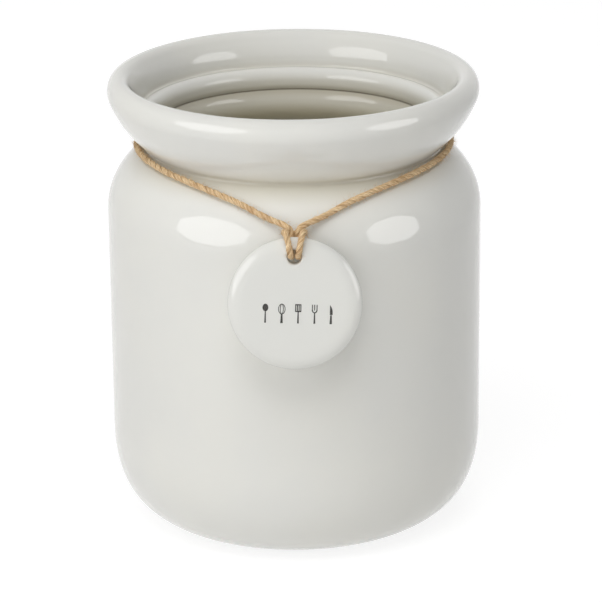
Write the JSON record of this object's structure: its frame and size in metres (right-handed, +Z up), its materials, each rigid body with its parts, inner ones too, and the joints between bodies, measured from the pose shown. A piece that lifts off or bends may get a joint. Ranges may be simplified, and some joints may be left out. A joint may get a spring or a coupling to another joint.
{
  "type": "utensil crock",
  "caption": "Round glazed stoneware crock with a flared collar and thick lip; a twine tied round its neck carries a round glazed tag.",
  "frame": {"origin": "middle of the base, on the surface the crock stands on", "axes": "+Z up along the crock's axis; the tag hangs towards -Y"},
  "size_m": [0.13, 0.1449, 0.1604],
  "materials": {
    "glaze": "glossy",
    "twine": "natural jute",
    "tag_glaze": "glossy"
  },
  "bodies": {
    "crock": {"crock": "glaze"},
    "necklace": {"neck_twine": "twine", "back_knot": "twine"},
    "hitch": {"hitch": "twine"},
    "tag": {"tag": "tag_glaze"}
  },
  "joints": [
    {"name": "necklace_turn", "type": "hinge", "parent": "crock", "child": "necklace", "pos_m": [0, 0, 0.136], "axis": [0, 0, 1], "continuous": true},
    {"name": "tag_lift", "type": "hinge", "parent": "necklace", "child": "hitch", "pos_m": [0, -0.05984, 0.129], "axis": [-1, 0, 0], "range_deg": [0, 100]},
    {"name": "tag_swing", "type": "hinge", "parent": "hitch", "child": "tag", "pos_m": [0, -0.07163, 0.1174], "axis": [0, -0.9919, 0.1271], "range_deg": [-15, 15]}
  ]
}
